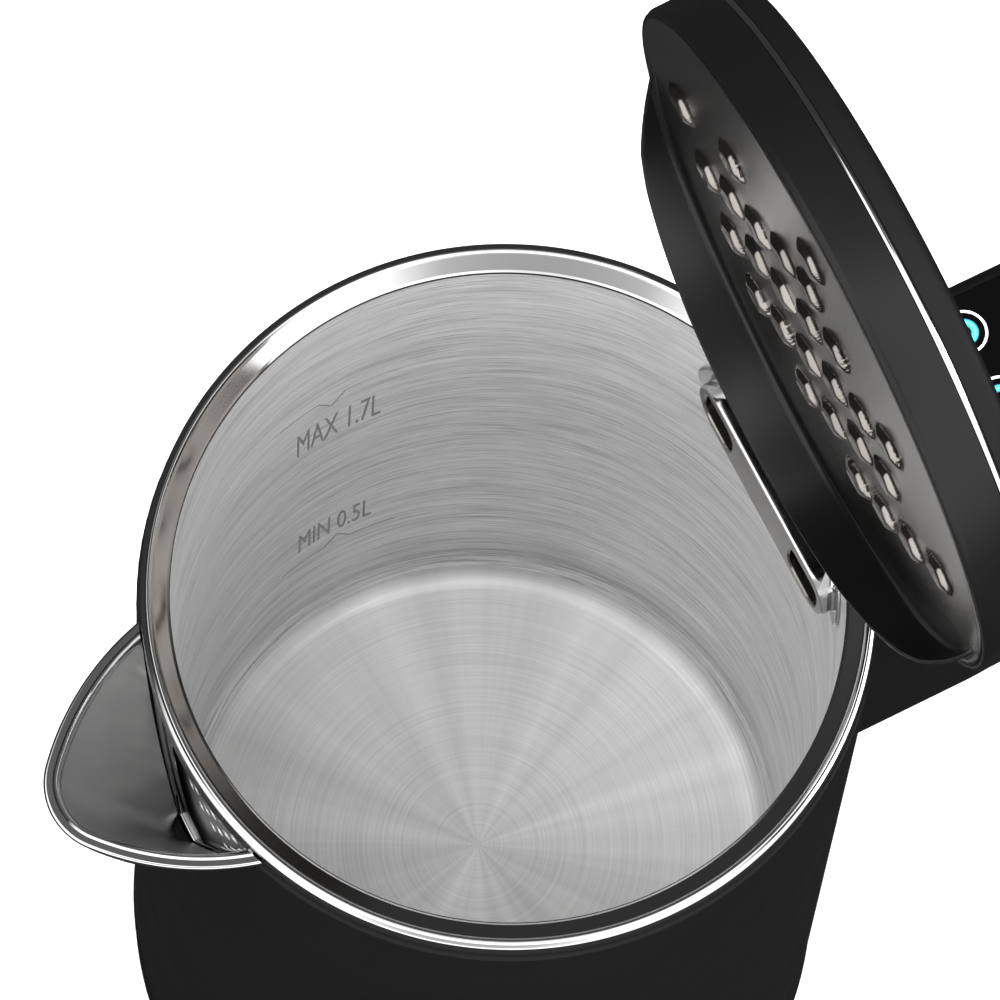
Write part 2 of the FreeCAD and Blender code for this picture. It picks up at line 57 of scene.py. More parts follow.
def make_piece(name, verts, faces, materials, body, face_material=None, crease=35.0):
    """A mesh piece from millimetre points, smooth except at creases, riding on a body."""
    mesh = bpy.data.meshes.new(name)
    mesh.from_pydata([(x * MM, y * MM, z * MM) for x, y, z in verts], [], faces)
    mesh.validate()
    for material in materials:
        mesh.materials.append(material)
    if face_material:
        for polygon, index in zip(mesh.polygons, face_material):
            polygon.material_index = index
    piece = bpy.data.objects.new(name, mesh)
    bpy.context.scene.collection.objects.link(piece)
    tidy_mesh(piece, crease)
    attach(piece, body)
    return piece


def tidy_mesh(piece, crease):
    work = bmesh.new()
    work.from_mesh(piece.data)
    bmesh.ops.remove_doubles(work, verts=work.verts, dist=1e-6)
    bmesh.ops.dissolve_degenerate(work, edges=work.edges, dist=1e-7)
    bmesh.ops.recalc_face_normals(work, faces=work.faces)
    work.to_mesh(piece.data)
    work.free()
    piece.data.polygons.foreach_set("use_smooth", [True] * len(piece.data.polygons))
    piece.data.set_sharp_from_angle(angle=math.radians(crease))


def soften(points, closed=False, steps=6):
    """Rounds the corners of an outline: each point is (a, b) or (a, b, radius)."""
    out = []
    count = len(points)
    for i, point in enumerate(points):
        if len(point) == 2 or (not closed and i in (0, count - 1)):
            out.append(Vector(point[:2]))
            continue
        here = Vector(point[:2])
        before = Vector(points[i - 1][:2]) - here
        after = Vector(points[(i + 1) % count][:2]) - here
        half = before.angle(after) / 2
        cut = min(point[2] / math.tan(half), before.length * 0.49, after.length * 0.49)
        a = here + before.normalized() * cut
        b = here + after.normalized() * cut
        for k in range(steps + 1):
            t = k / steps
            out.append(a * (1 - t) ** 2 + here * 2 * t * (1 - t) + b * t ** 2)
    return out


def turned(outline, turns=192, start=0.0, sweep=360.0):
    """Points and faces of a turned body whose outline is a closed loop of (radius, z)."""
    full = abs(sweep - 360.0) < 1e-6
    rows = turns if full else turns + 1
    verts, faces = [], []
    n = len(outline)
    for i in range(rows):
        a = math.radians(start + sweep * i / turns)
        verts += [(p[0] * math.cos(a), p[0] * math.sin(a), p[1]) for p in outline]
    for i in range(turns):
        j = (i + 1) % rows
        for k in range(n):
            m = (k + 1) % n
            faces.append((i * n + k, j * n + k, j * n + m, i * n + m))
    if not full:
        faces.append(tuple(range(n)))
        faces.append(tuple(range((rows - 1) * n, rows * n))[::-1])
    return verts, faces


def swing_open(verts):
    """Turns closed-lid points about the hinge pin to the open lid."""
    c, s = math.cos(LID_OPEN), math.sin(LID_OPEN)
    out = []
    for x, y, z in verts:
        dx, dz = x - HINGE_X, z - HINGE_Z
        out.append((HINGE_X + dx * c + dz * s, y, HINGE_Z - dx * s + dz * c))
    return out


def carve(piece, cutters):
    """Cuts closed shapes out of a piece for good, then removes the shapes."""
    for cutter in cutters:
        step = piece.modifiers.new("carve", "BOOLEAN")
        step.operation = "DIFFERENCE"
        step.solver = "EXACT"
        step.object = cutter
    graph = bpy.context.evaluated_depsgraph_get()
    mesh = bpy.data.meshes.new_from_object(piece.evaluated_get(graph))
    piece.modifiers.clear()
    piece.data = mesh
    for cutter in cutters:
        bpy.data.objects.remove(cutter, do_unlink=True)


def cutter_rod(radius, start, end, sides=24):
    start, end = Vector(start) * MM, Vector(end) * MM
    axis = end - start
    work = bmesh.new()
    bmesh.ops.create_cone(work, cap_ends=True, segments=sides, radius1=radius * MM,
                          radius2=radius * MM, depth=axis.length)
    mesh = bpy.data.meshes.new("cutter")
    work.to_mesh(mesh)
    work.free()
    piece = bpy.data.objects.new("cutter", mesh)
    piece.matrix_world = (Matrix.Translation((start + end) / 2)
                          @ axis.to_track_quat("Z", "Y").to_matrix().to_4x4())
    bpy.context.scene.collection.objects.link(piece)
    bpy.context.view_layer.update()
    return piece


def finish_node(names, material, crease=30.0):
    """Gives built parts their finish; their shape stays as it is."""
    for name in names:
        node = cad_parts[name]
        node.data.materials.clear()
        node.data.materials.append(material)


# ------------------------------------------------------------------ materials

def linear(hex_colour):
    """sRGB hex to a linear colour."""
    out = []
    for k in (1, 3, 5):
        v = int(hex_colour[k:k + 2], 16) / 255
        out.append(v / 12.92 if v <= 0.04045 else ((v + 0.055) / 1.055) ** 2.4)
    return (out[0], out[1], out[2], 1.0)


def add(tree, kind, inputs=None, **settings):
    """Adds a node with its settings; inputs are values or other nodes' sockets."""
    node = tree.nodes.new(kind)
    for key, value in settings.items():
        setattr(node, key, value)
    for key, value in (inputs or {}).items():
        if isinstance(value, bpy.types.NodeSocket):
            tree.links.new(value, node.inputs[key])
        else:
            node.inputs[key].default_value = value
    return node


def new_material(name, base, metallic=0.0, roughness=0.5, **sockets):
    """A material with one shader; constant values sit on the shader's own sockets."""
    material = bpy.data.materials.new(name)
    material.use_nodes = True
    tree = material.node_tree
    shader = tree.nodes["Principled BSDF"]
    shader.inputs["Base Color"].default_value = linear(base)
    shader.inputs["Metallic"].default_value = metallic
    shader.inputs["Roughness"].default_value = roughness
    for key, value in sockets.items():
        shader.inputs[key.replace("_", " ")].default_value = value
    material.diffuse_color = linear(base)
    return material, tree, shader


def ramp(tree, factor, stops):
    """Colour ramp from (position, hex or grey number) stops."""
    node = add(tree, "ShaderNodeValToRGB", {"Fac": factor})
    while len(node.color_ramp.elements) < len(stops):
        node.color_ramp.elements.new(0.5)
    for element, (place, value) in zip(node.color_ramp.elements, stops):
        element.position = place
        element.color = linear(value) if isinstance(value, str) else (value, value, value, 1.0)
    return node.outputs["Color"]


def brushed_wall_steel():
    """Stainless steel sheet, brushed round the vessel: long fine lines, blurred up and down."""
    material, tree, shader = new_material("stainless_brushed_wall", "#bfbfbf", 0.66, 0.36,
                                          Anisotropic=0.7, Anisotropic_Rotation=0.25)
    place = add(tree, "ShaderNodeTexCoord").outputs["Object"]
    # The real lines are under 0.1 mm; they are drawn 0.3 mm apart and 17 mm long, to show.
    fine_way = add(tree, "ShaderNodeVectorMath", {0: place, 1: (60.0, 60.0, 3400.0)},
                   operation="MULTIPLY").outputs[0]
    fine = add(tree, "ShaderNodeTexNoise", {"Vector": fine_way, "Scale": 1.0, "Detail": 4.0,
                                            "Roughness": 0.75}).outputs["Fac"]
    # Bands of heavier and lighter pressure, 4 mm apart.
    band_way = add(tree, "ShaderNodeVectorMath", {0: place, 1: (9.0, 9.0, 260.0)},
                   operation="MULTIPLY").outputs[0]
    band = add(tree, "ShaderNodeTexNoise", {"Vector": band_way, "Scale": 1.0, "Detail": 2.0,
                                            "Roughness": 0.5}).outputs["Fac"]
    part = add(tree, "ShaderNodeMath", {0: band, 1: 0.12}, operation="MULTIPLY").outputs[0]
    lines = add(tree, "ShaderNodeMath", {0: fine, 1: 0.88, 2: part},
                operation="MULTIPLY_ADD").outputs[0]
    tree.links.new(ramp(tree, lines, [(0.36, "#9a9a9a"), (0.43, "#cacaca"), (0.5, "#e4e4e4"),
                                      (0.57, "#f2f2f2"), (0.64, "#ffffff")]),
                   shader.inputs["Base Color"])
    tree.links.new(ramp(tree, band, [(0.3, 0.40), (0.7, 0.30)]), shader.inputs["Roughness"])
    bump = add(tree, "ShaderNodeBump", {"Height": lines, "Strength": 0.12, "Distance": 0.0002})
    tree.links.new(bump.outputs[0], shader.inputs["Normal"])
    tangent = add(tree, "ShaderNodeTangent", direction_type="RADIAL", axis="Z")
    tree.links.new(tangent.outputs[0], shader.inputs["Tangent"])
    return material


def brushed_floor_steel():
    """Stainless steel floor, spun under the brush: fine rings, with painted glints in wedges round the centre.
    """
    material, tree, shader = new_material("stainless_spun_floor", "#c6c6c6", 0.78, 0.38,
                                          Anisotropic=0.92, Anisotropic_Rotation=0.25)
    place = add(tree, "ShaderNodeTexCoord").outputs["Object"]
    flat = add(tree, "ShaderNodeVectorMath", {0: place, 1: (1.0, 1.0, 0.0)},
               operation="MULTIPLY").outputs[0]
    radius = add(tree, "ShaderNodeVectorMath", {0: flat}, operation="LENGTH").outputs["Value"]
    # The real rings are under 0.1 mm; they are drawn 0.35 mm apart, to show.
    slow = add(tree, "ShaderNodeVectorMath", {0: flat, 1: (25.0, 25.0, 0.0)},
               operation="MULTIPLY").outputs[0]
    ringed = add(tree, "ShaderNodeMath", {0: radius, 1: 2800.0}, operation="MULTIPLY").outputs[0]
    rings = add(tree, "ShaderNodeTexNoise", {"Vector": slow, "W": ringed, "Scale": 1.0,
                                             "Detail": 2.0}, noise_dimensions="4D").outputs["Fac"]
    # Painted glints: the base colour turns lighter and darker in wedges a few degrees wide, in place of the
    # highlights that light throws off the spun rings.
    way = add(tree, "ShaderNodeVectorMath", {0: flat}, operation="NORMALIZE").outputs[0]
    painted_glint_fan = add(tree, "ShaderNodeTexNoise", {"Vector": way, "Scale": 3.0, "Detail": 5.0,
                                           "Roughness": 0.6}).outputs["Fac"]
    ringed_tone = ramp(tree, rings, [(0.3, "#dadada"), (0.5, "#e4e4e4"), (0.7, "#ececec")])
    # Painted highlight: this wedge ramp lightens the floor's colour by direction from the centre.
    painted_glint_tone = ramp(tree, painted_glint_fan, [(0.32, "#dedede"), (0.5, "#ebebeb"), (0.68, "#f8f8f8")])
    tone = add(tree, "ShaderNodeVectorMath", {0: ringed_tone, 1: painted_glint_tone},
               operation="MULTIPLY").outputs[0]
    tree.links.new(tone, shader.inputs["Base Color"])
    tree.links.new(ramp(tree, rings, [(0.3, 0.4), (0.7, 0.34)]), shader.inputs["Roughness"])
    tangent = add(tree, "ShaderNodeTangent", direction_type="RADIAL", axis="Z")
    tree.links.new(tangent.outputs[0], shader.inputs["Tangent"])
    return material


def polished_steel(name="stainless_polished", base="#c4c4c4", low=0.05, high=0.12):
    """Stainless steel, mirror polished: sharp reflections with a faint haze of buffing."""
    material, tree, shader = new_material(name, base, 1.0, low)
    place = add(tree, "ShaderNodeTexCoord").outputs["Object"]
    # Buffing haze comes in soft patches about 15 mm across.
    haze = add(tree, "ShaderNodeTexNoise", {"Vector": place, "Scale": 65.0, "Detail": 4.0,
                                            "Roughness": 0.55}).outputs["Fac"]
    tree.links.new(ramp(tree, haze, [(0.35, low), (0.7, high)]), shader.inputs["Roughness"])
    return material


def pressed_steel():
    """Stainless sheet pressed in a die: satin, a little wavy, with soft rub marks. Its colour is painted
    shade: set darker than the steel's own, for the dark room the pan reflects.
    """
    material, tree, shader = new_material("stainless_pressed", "#86827e", 1.0, 0.2)
    place = add(tree, "ShaderNodeTexCoord").outputs["Object"]
    # Slow waves of the press, about 25 mm long.
    wave = add(tree, "ShaderNodeTexNoise", {"Vector": place, "Scale": 40.0, "Detail": 2.0,
                                            "Roughness": 0.4}).outputs["Fac"]
    # Fine rolling grain of the sheet, 0.5 mm.
    grain = add(tree, "ShaderNodeTexNoise", {"Vector": place, "Scale": 2000.0, "Detail": 2.0,
                                             "Roughness": 0.6}).outputs["Fac"]
    tree.links.new(ramp(tree, grain, [(0.3, 0.17), (0.7, 0.25)]), shader.inputs["Roughness"])
    # The wave tones are held dark too, as painted shade.
    tree.links.new(ramp(tree, wave, [(0.3, "#7c7874"), (0.7, "#8e8a86")]),
                   shader.inputs["Base Color"])
    bump = add(tree, "ShaderNodeBump", {"Height": wave, "Strength": 0.12, "Distance": 0.0008})
    tree.links.new(bump.outputs[0], shader.inputs["Normal"])
    return material


def soft_touch_black(name, base="#1d1d1f", roughness=0.42, grain_mm=0.45, shine=0.2):
    """Black plastic with a fine moulded grain; the matt coat keeps its shine low."""
    material, tree, shader = new_material(name, base, 0.0, roughness, IOR=1.5,
                                          Specular_IOR_Level=shine)
    place = add(tree, "ShaderNodeTexCoord").outputs["Object"]
    grain = add(tree, "ShaderNodeTexNoise", {"Vector": place, "Scale": 1000.0 / grain_mm,
                                             "Detail": 2.0, "Roughness": 0.6}).outputs["Fac"]
    # Handling leaves broad, faint shiny patches, 40 mm or so across.
    rub = add(tree, "ShaderNodeTexNoise", {"Vector": place, "Scale": 25.0, "Detail": 3.0,
                                           "Roughness": 0.5}).outputs["Fac"]
    tree.links.new(ramp(tree, rub, [(0.35, roughness - 0.04), (0.7, roughness + 0.05)]),
                   shader.inputs["Roughness"])
    bump = add(tree, "ShaderNodeBump", {"Height": grain, "Strength": 0.1, "Distance": 0.0001})
    tree.links.new(bump.outputs[0], shader.inputs["Normal"])
    return material


def gloss_black():
    """Black acrylic of the touch panel, polished flat, with a trace of wiping."""
    material, tree, shader = new_material("acrylic_gloss_black", "#050505", 0.0, 0.06, IOR=1.49,
                                          Specular_IOR_Level=0.2)
    place = add(tree, "ShaderNodeTexCoord").outputs["Object"]
    wipe = add(tree, "ShaderNodeTexNoise", {"Vector": place, "Scale": 90.0, "Detail": 5.0,
                                            "Roughness": 0.6}).outputs["Fac"]
    tree.links.new(ramp(tree, wipe, [(0.4, 0.05), (0.7, 0.11)]), shader.inputs["Roughness"])
    return material


def rubber_black(name="silicone_black", base="#0d0d0e"):
    """Moulded silicone: dull, slightly dusty."""
    material, tree, shader = new_material(name, base, 0.0, 0.6, IOR=1.41)
    place = add(tree, "ShaderNodeTexCoord").outputs["Object"]
    dust = add(tree, "ShaderNodeTexNoise", {"Vector": place, "Scale": 700.0, "Detail": 3.0,
                                            "Roughness": 0.6}).outputs["Fac"]
    tree.links.new(ramp(tree, dust, [(0.3, 0.52), (0.7, 0.68)]), shader.inputs["Roughness"])
    return material


def white_ring_print():
    """White ring printed under the panel and lit evenly from behind."""
    material, tree, shader = new_material("ring_white_lit", "#f2f5f6", 0.0, 0.3)
    place = add(tree, "ShaderNodeTexCoord").outputs["Object"]
    # Ink density varies over about 3 mm.
    ink = add(tree, "ShaderNodeTexNoise", {"Vector": place, "Scale": 330.0, "Detail": 1.0})
    glow = ramp(tree, ink.outputs["Fac"], [(0.3, "#dfe4e6"), (0.7, "#ffffff")])
    tree.links.new(glow, shader.inputs["Base Color"])
    tree.links.new(glow, shader.inputs["Emission Color"])
    shader.inputs["Emission Strength"].default_value = 0.75
    return material


def blue_ring_light():
    """Blue-green light window: brightest along the middle of each ring, dim at its edges."""
    material, tree, shader = new_material("ring_blue_lit", "#1f8ea0", 0.0, 0.3)
    place = add(tree, "ShaderNodeTexCoord").outputs["Object"]
    axes = add(tree, "ShaderNodeSeparateXYZ", {0: place})
    # Distance from the nearest ring's centre: rings are 16.5 mm apart, in two rows 14.4 mm apart.
    shifted = add(tree, "ShaderNodeMath", {0: axes.outputs["X"], 1: 0.0995},
                  operation="SUBTRACT").outputs[0]
    across = add(tree, "ShaderNodeMath", {0: shifted, 1: 0.00825, 2: -0.00825},
                 operation="WRAP").outputs[0]
    side = add(tree, "ShaderNodeMath", {0: axes.outputs["Y"]}, operation="ABSOLUTE").outputs[0]
    along = add(tree, "ShaderNodeMath", {0: side, 1: 0.0072}, operation="SUBTRACT").outputs[0]
    spot = add(tree, "ShaderNodeCombineXYZ", {0: across, 1: along}).outputs[0]
    radius = add(tree, "ShaderNodeVectorMath", {0: spot}, operation="LENGTH").outputs["Value"]
    part = add(tree, "ShaderNodeMath", {0: radius, 1: 1.0 / 0.0028}, operation="MULTIPLY")
    glow = ramp(tree, part.outputs[0], [(0.42, "#0c4a58"), (0.6, "#3fc4d4"), (0.72, "#62e6ee"),
                                        (0.84, "#35b4c6"), (0.97, "#0e5666")])
    tree.links.new(glow, shader.inputs["Base Color"])
    tree.links.new(glow, shader.inputs["Emission Color"])
    shader.inputs["Emission Strength"].default_value = 0.8
    return material


def plain_plastic(name, base, roughness=0.5):
    """Moulded plastic out of sight, with a fine spark-eroded grain."""
    return soft_touch_black(name, base, roughness, 0.6)


def plain_metal(name, base, roughness=0.35):
    """Cast or drawn metal, lightly mottled."""
    material, tree, shader = new_material(name, base, 1.0, roughness)
    place = add(tree, "ShaderNodeTexCoord").outputs["Object"]
    mottle = add(tree, "ShaderNodeTexNoise", {"Vector": place, "Scale": 300.0, "Detail": 4.0,
                                              "Roughness": 0.6}).outputs["Fac"]
    tree.links.new(ramp(tree, mottle, [(0.3, roughness - 0.07), (0.7, roughness + 0.1)]),
                   shader.inputs["Roughness"])
    return material


STEEL_WALL = brushed_wall_steel()
STEEL_FLOOR = brushed_floor_steel()
STEEL_POLISHED = polished_steel()
STEEL_PRESSED = pressed_steel()
TRIM_CHROME = polished_steel("chrome_trim", "#d2d2d4", 0.06, 0.14)
ETCHED = plain_metal("stainless_etched", "#b4b4b4", 0.6)
SPOUT_STEEL = polished_steel("stainless_spout_satin", "#dcdcdb", 0.28, 0.36)
SHELL_BLACK = soft_touch_black("soft_touch_coat_black", "#101010", 0.5, 0.45, 0.12)
LID_BLACK = soft_touch_black("moulded_black_satin", "#0e0e0e", 0.36, 0.45, 0.2)
SKIRT_BLACK = soft_touch_black("moulded_black_gloss", "#0a0a0a", 0.22, 1.2, 0.25)
HANDLE_BLACK = soft_touch_black("handle_black_satin", "#0e0e0e", 0.42, 0.45, 0.15)
BASE_BLACK = soft_touch_black("base_black_matt", "#111111", 0.5, 0.45, 0.01)
PANEL_BLACK = gloss_black()
SEAL_BLACK = rubber_black()
FOOT_RUBBER = rubber_black("rubber_foot", "#121213")
RING_WHITE = white_ring_print()
RING_BLUE = blue_ring_light()
INNER_GREY = plain_plastic("moulded_grey", "#4b4b4d")
ALUMINIUM = plain_metal("aluminium_cast", "#b4b5b8", 0.4)
ELEMENT = plain_metal("element_sheath", "#7a7570", 0.45)
BRASS = plain_metal("brass_contact", "#c9a052", 0.3)
SCREW = plain_metal("zinc_plated_steel", "#b5b3ae", 0.3)
BOARD = plain_plastic("board_green", "#1f5a35", 0.4)
WIRE = rubber_black("glass_fibre_sleeve", "#8c8676")


# ------------------------------------------------------------------ vessel

def vessel_r(z):
    return VESSEL_R_LOW + (VESSEL_R_TOP - VESSEL_R_LOW) * (z - 62.0) / (SEAM_Z - 0.4 - 62.0)


def make_vessel():
    """Deep-drawn vessel: brushed wall, rounded corner, spun floor, strainer holes at the spout."""
    wall = 0.8
    inner = [(0.02, FLOOR_Z)]
    inner += [(r, FLOOR_Z) for r in (8, 16, 24, 32, 40, 48, 54)]
    for k in range(13):
        a = math.pi / 2 * k / 12
        inner.append((57.0 + 7.0 * math.sin(a), FLOOR_Z + 7.0 * (1 - math.cos(a))))
    inner += [(vessel_r(z), z) for z in range(72, 242, 10)]
    inner.append((vessel_r(SEAM_Z - 0.4), SEAM_Z - 0.4))
    outer = [(vessel_r(SEAM_Z - 0.4) + wall, SEAM_Z - 0.4), (vessel_r(62) + wall, 62.0)]
    for k in range(1, 9):
        a = math.pi / 2 * (1 - k / 8)
        outer.append((57.0 + 7.8 * math.sin(a), FLOOR_Z + 7.0 - 7.8 * math.cos(a)))
    outer.append((0.02, FLOOR_Z - wall))
    verts, faces = turned(inner + outer, 240)
    is_floor = []
    for face in faces:
        r = sum(math.hypot(verts[v][0], verts[v][1]) for v in face) / 4
        z = sum(verts[v][2] for v in face) / 4
        is_floor.append(1 if z < FLOOR_Z + 2.5 and r < 62.0 else 0)
    piece = make_piece("water_vessel", verts, faces, [STEEL_WALL, STEEL_FLOOR], "jug", is_floor)
    cutters = []
    for row in range(9):
        z = 198.0 + 4.6 * row
        for k in range(-4, 5):
            a = math.radians(180.0 + 4.2 * k + 2.1 * (row % 2))
            direction = Vector((math.cos(a), math.sin(a), 0))
            cutters.append(cutter_rod(1.2, direction * 58 + Vector((0, 0, z)),
                                      direction * 68 + Vector((0, 0, z)), 16))
    joined = join_cutters(cutters)
    windows = [cutter_box((50, 66), (y - 5.5, y + 5.5), (220.5, 229.5)) for y in (-17, 17)]
    carve(piece, [joined] + windows)
    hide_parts("vessel")
    return piece


def join_cutters(cutters):
    work = bmesh.new()
    for cutter in cutters:
        part = cutter.data.copy()
        part.transform(cutter.matrix_world)
        work.from_mesh(part)
        bpy.data.objects.remove(cutter, do_unlink=True)
    mesh = bpy.data.meshes.new("cutters")
    work.to_mesh(mesh)
    work.free()
    piece = bpy.data.objects.new("cutters", mesh)
    bpy.context.scene.collection.objects.link(piece)
    bpy.context.view_layer.update()
    return piece


def cutter_box(xs, ys, zs):
    work = bmesh.new()
    bmesh.ops.create_cube(work, size=1.0)
    size = Vector((xs[1] - xs[0], ys[1] - ys[0], zs[1] - zs[0])) * MM
    middle = Vector((xs[1] + xs[0], ys[1] + ys[0], zs[1] + zs[0])) * (MM / 2)
    for v in work.verts:
        v.co = Vector((v.co.x * size.x, v.co.y * size.y, v.co.z * size.z)) + middle
    mesh = bpy.data.meshes.new("cutter_box")
    work.to_mesh(mesh)
    work.free()
    piece = bpy.data.objects.new("cutter_box", mesh)
    bpy.context.scene.collection.objects.link(piece)
    bpy.context.view_layer.update()
    return piece


def on_wall(angle_mm, z, depth):
    """Point on the inside of the vessel wall; angle_mm runs to the reader's right."""
    a = math.radians(93.0) - angle_mm / 63.0
    r = vessel_r(z) - depth
    return (r * math.cos(a), r * math.sin(a), z)


def wall_stroke(points, width, name, body="jug", close=False):
    """A thin etched line that follows the wall through (across, z) points."""
    fine = []
    loop = points + [points[0]] if close else points
    for a, b in zip(loop[:-1], loop[1:]):
        count = max(1, int(math.hypot(b[0] - a[0], b[1] - a[1]) / 1.0))
        fine += [(a[0] + (b[0] - a[0]) * k / count, a[1] + (b[1] - a[1]) * k / count)
                 for k in range(count)]
    fine.append(loop[-1])
    verts, faces = [], []
    for i, (x, z) in enumerate(fine):
        ahead = fine[min(i + 1, len(fine) - 1)]
        back = fine[max(i - 1, 0)]
        d = Vector((ahead[0] - back[0], ahead[1] - back[1]))
        d = d.normalized() if d.length else Vector((1, 0))
        nx, nz = -d.y * width / 2, d.x * width / 2
        verts += [on_wall(x + nx, z + nz, 0.07), on_wall(x - nx, z - nz, 0.07),
                  on_wall(x - nx, z - nz, 0.005), on_wall(x + nx, z + nz, 0.005)]
    for i in range(len(fine) - 1):
        a, b = i * 4, (i + 1) * 4
        for k in range(4):
            m = (k + 1) % 4
            faces.append((a + k, b + k, b + m, a + m))
    faces.append((0, 1, 2, 3))
    last = (len(fine) - 1) * 4
    faces.append((last + 3, last + 2, last + 1, last))
    return verts, faces


def join_strokes(strokes):
    verts, faces = [], []
    for v, f in strokes:
        base = len(verts)
        verts += v
        faces += [tuple(i + base for i in face) for face in f]
    return verts, faces


def level_text(words, width, height, z_low, shift=0.0):
    """Tall narrow capitals of a level mark, wrapped on to the wall."""
    curve = bpy.data.curves.new("level_text", "FONT")
    curve.body = words
    curve.size = 1.0
    curve.extrude = 0.5
    curve.resolution_u = 3
    holder = bpy.data.objects.new("level_text", curve)
    bpy.context.scene.collection.objects.link(holder)
    graph = bpy.context.evaluated_depsgraph_get()
    mesh = bpy.data.meshes.new_from_object(holder.evaluated_get(graph))
    bpy.data.objects.remove(holder, do_unlink=True)
    work = bmesh.new()
    work.from_mesh(mesh)
    for _ in range(3):
        bmesh.ops.triangulate(work, faces=work.faces)
        long_edges = [e for e in work.edges if e.calc_length() > 0.12]
        bmesh.ops.subdivide_edges(work, edges=long_edges, cuts=1)
    bmesh.ops.triangulate(work, faces=work.faces)
    work.to_mesh(mesh)
    work.free()
    xs = [v.co.x for v in mesh.vertices]
    ys = [v.co.y for v in mesh.vertices]
    x0, x1, y0, y1 = min(xs), max(xs), min(ys), max(ys)
    verts = []
    for v in mesh.vertices:
        across = ((v.co.x - x0) / (x1 - x0) - 0.5) * width + shift
        z = z_low + (v.co.y - y0) / (y1 - y0) * height
        depth = 0.005 + (v.co.z + 0.5) * 0.065
        verts.append(on_wall(across, z, depth))
    faces = [tuple(p.vertices) for p in mesh.polygons]
    return verts, faces


def make_level_marks():
    max_line, min_line = 196.5, 95.0
    strokes = [
        wall_stroke([(-14, max_line), (-4.6, max_line), (-1.5, max_line - 5.5),
                     (1.6, max_line), (13, max_line)], 0.3, "max"),
        wall_stroke([(-13, min_line), (-2.2, min_line), (1.0, min_line + 5.0),
                     (4.0, min_line), (14, min_line)], 0.3, "min"),
        level_text("MAX 1.7L", 19.0, 13.5, 171.5),
        level_text("MIN 0.5L", 17.2, 12.0, 103.5),
    ]
    verts, faces = join_strokes(strokes)
    piece = make_piece("level_marks", verts, faces, [ETCHED], "jug", crease=20)
    return piece


# ------------------------------------------------------------------ rim and spout

def make_rim():
    """Polished rim: an inward slope, a fine bead, and a rolled outer edge."""
    outline = soften([(62.5, 245.15), (62.9, 245.5, 0.3), (65.4, 246.75, 2.0), (65.75, 247.0, 0.2),
                      (66.1, 247.42, 0.3), (66.6, 247.42, 0.3), (67.0, 247.0, 0.2),
                      (67.8, 246.5, 0.7), (67.8, 241.3), (64.5, 241.3), (64.5, 244.0),
                      (64.15, 244.0), (64.15, 245.15)], closed=True)
    opening = math.degrees(math.asin(23.0 / 66.5))
    verts, faces = turned([tuple(p) for p in outline], 320, opening, 360.0 - 2 * opening)
    piece = make_piece("rim", verts, faces, [STEEL_POLISHED], "jug")
    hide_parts("rim_ring")
    return piece


# Height, reach, half width at the jug, tip radius and bow of the flanks.
SPOUT_LEVELS = [(186.0, 72.0, 9.0, 5.0, 22.0), (202.0, 78.5, 15.0, 8.0, 34.0),
                (222.0, 87.0, 21.5, 11.0, 45.0), (246.2, 93.7, 27.3, 13.4, 54.0)]
LIP_Z = 242.8


def spout_size(z):
    """The spout's sizes at height z, on a smooth curve through the levels."""
    sizes = []
    for k in range(1, 5):
        total = 0.0
        for i, level in enumerate(SPOUT_LEVELS):
            weight = 1.0
            for j, other in enumerate(SPOUT_LEVELS):
                if i != j:
                    weight *= (z - other[0]) / (level[0] - other[0])
            total += weight * level[k]
        sizes.append(total)
    return sizes


def spout_arcs(z):
    """Tip centre, tip radius, flank centre, flank radius and the angle where they meet."""
    reach, half_w, tip_r, flank_r = spout_size(z)
    cx = -(reach - tip_r)
    root = Vector((-56.0 - cx, half_w))
    along = (2 * tip_r * flank_r - root.length_squared - tip_r ** 2) / (2 * (flank_r - tip_r))
    a = math.atan2(root.y, root.x) + math.acos(along / root.length)
    return (cx, tip_r, cx - (flank_r - tip_r) * math.cos(a), -(flank_r - tip_r) * math.sin(a),
            flank_r, a)


def spout_line(z, inset, flank=40, bend=48):
    """Points round the spout from one root, past the tip, to the other."""
    cx, tip_r, fx, fy, flank_r, a = spout_arcs(z)
    r = flank_r - inset
    root_a = math.acos((-56.0 - fx) / r)
    points = []
    for k in range(flank):
        b = root_a + (a - root_a) * k / flank
        points.append(Vector((fx + r * math.cos(b), fy + r * math.sin(b))))
    for k in range(bend + 1):
        b = a + (2 * math.pi - 2 * a) * k / bend
        points.append(Vector((cx + (tip_r - inset) * math.cos(b), (tip_r - inset) * math.sin(b))))
    points += [Vector((p.x, -p.y)) for p in reversed(points[:flank])]
    return points


def spout_half_width(x, z, inset):
    """Half width of the spout at a distance x along the jug and a height z."""
    cx, tip_r, fx, fy, flank_r, a = spout_arcs(z)
    if x < cx + tip_r * math.cos(a):
        return math.sqrt(max((tip_r - inset) ** 2 - (x - cx) ** 2, 0.0))
    return fy + math.sqrt(max((flank_r - inset) ** 2 - (x - fx) ** 2, 0.0))


def spout_sheet(levels):
    """Closed skin through (z, inset) levels that run round the wall of the spout."""
    rows = [spout_line(z, inset) for z, inset in levels]
    n = len(rows[0])
    verts = []
    for (z, _), row in zip(levels, rows):
        verts += [(p.x, p.y, z) for p in row]
    faces = []
    for i in range(len(rows)):
        j = (i + 1) % len(rows)
        for k in range(n - 1):
            faces.append((i * n + k, i * n + k + 1, j * n + k + 1, j * n + k))
    faces.append(tuple(i * n for i in range(len(rows))))
    faces.append(tuple(i * n + n - 1 for i in reversed(range(len(rows)))))
    return verts, faces


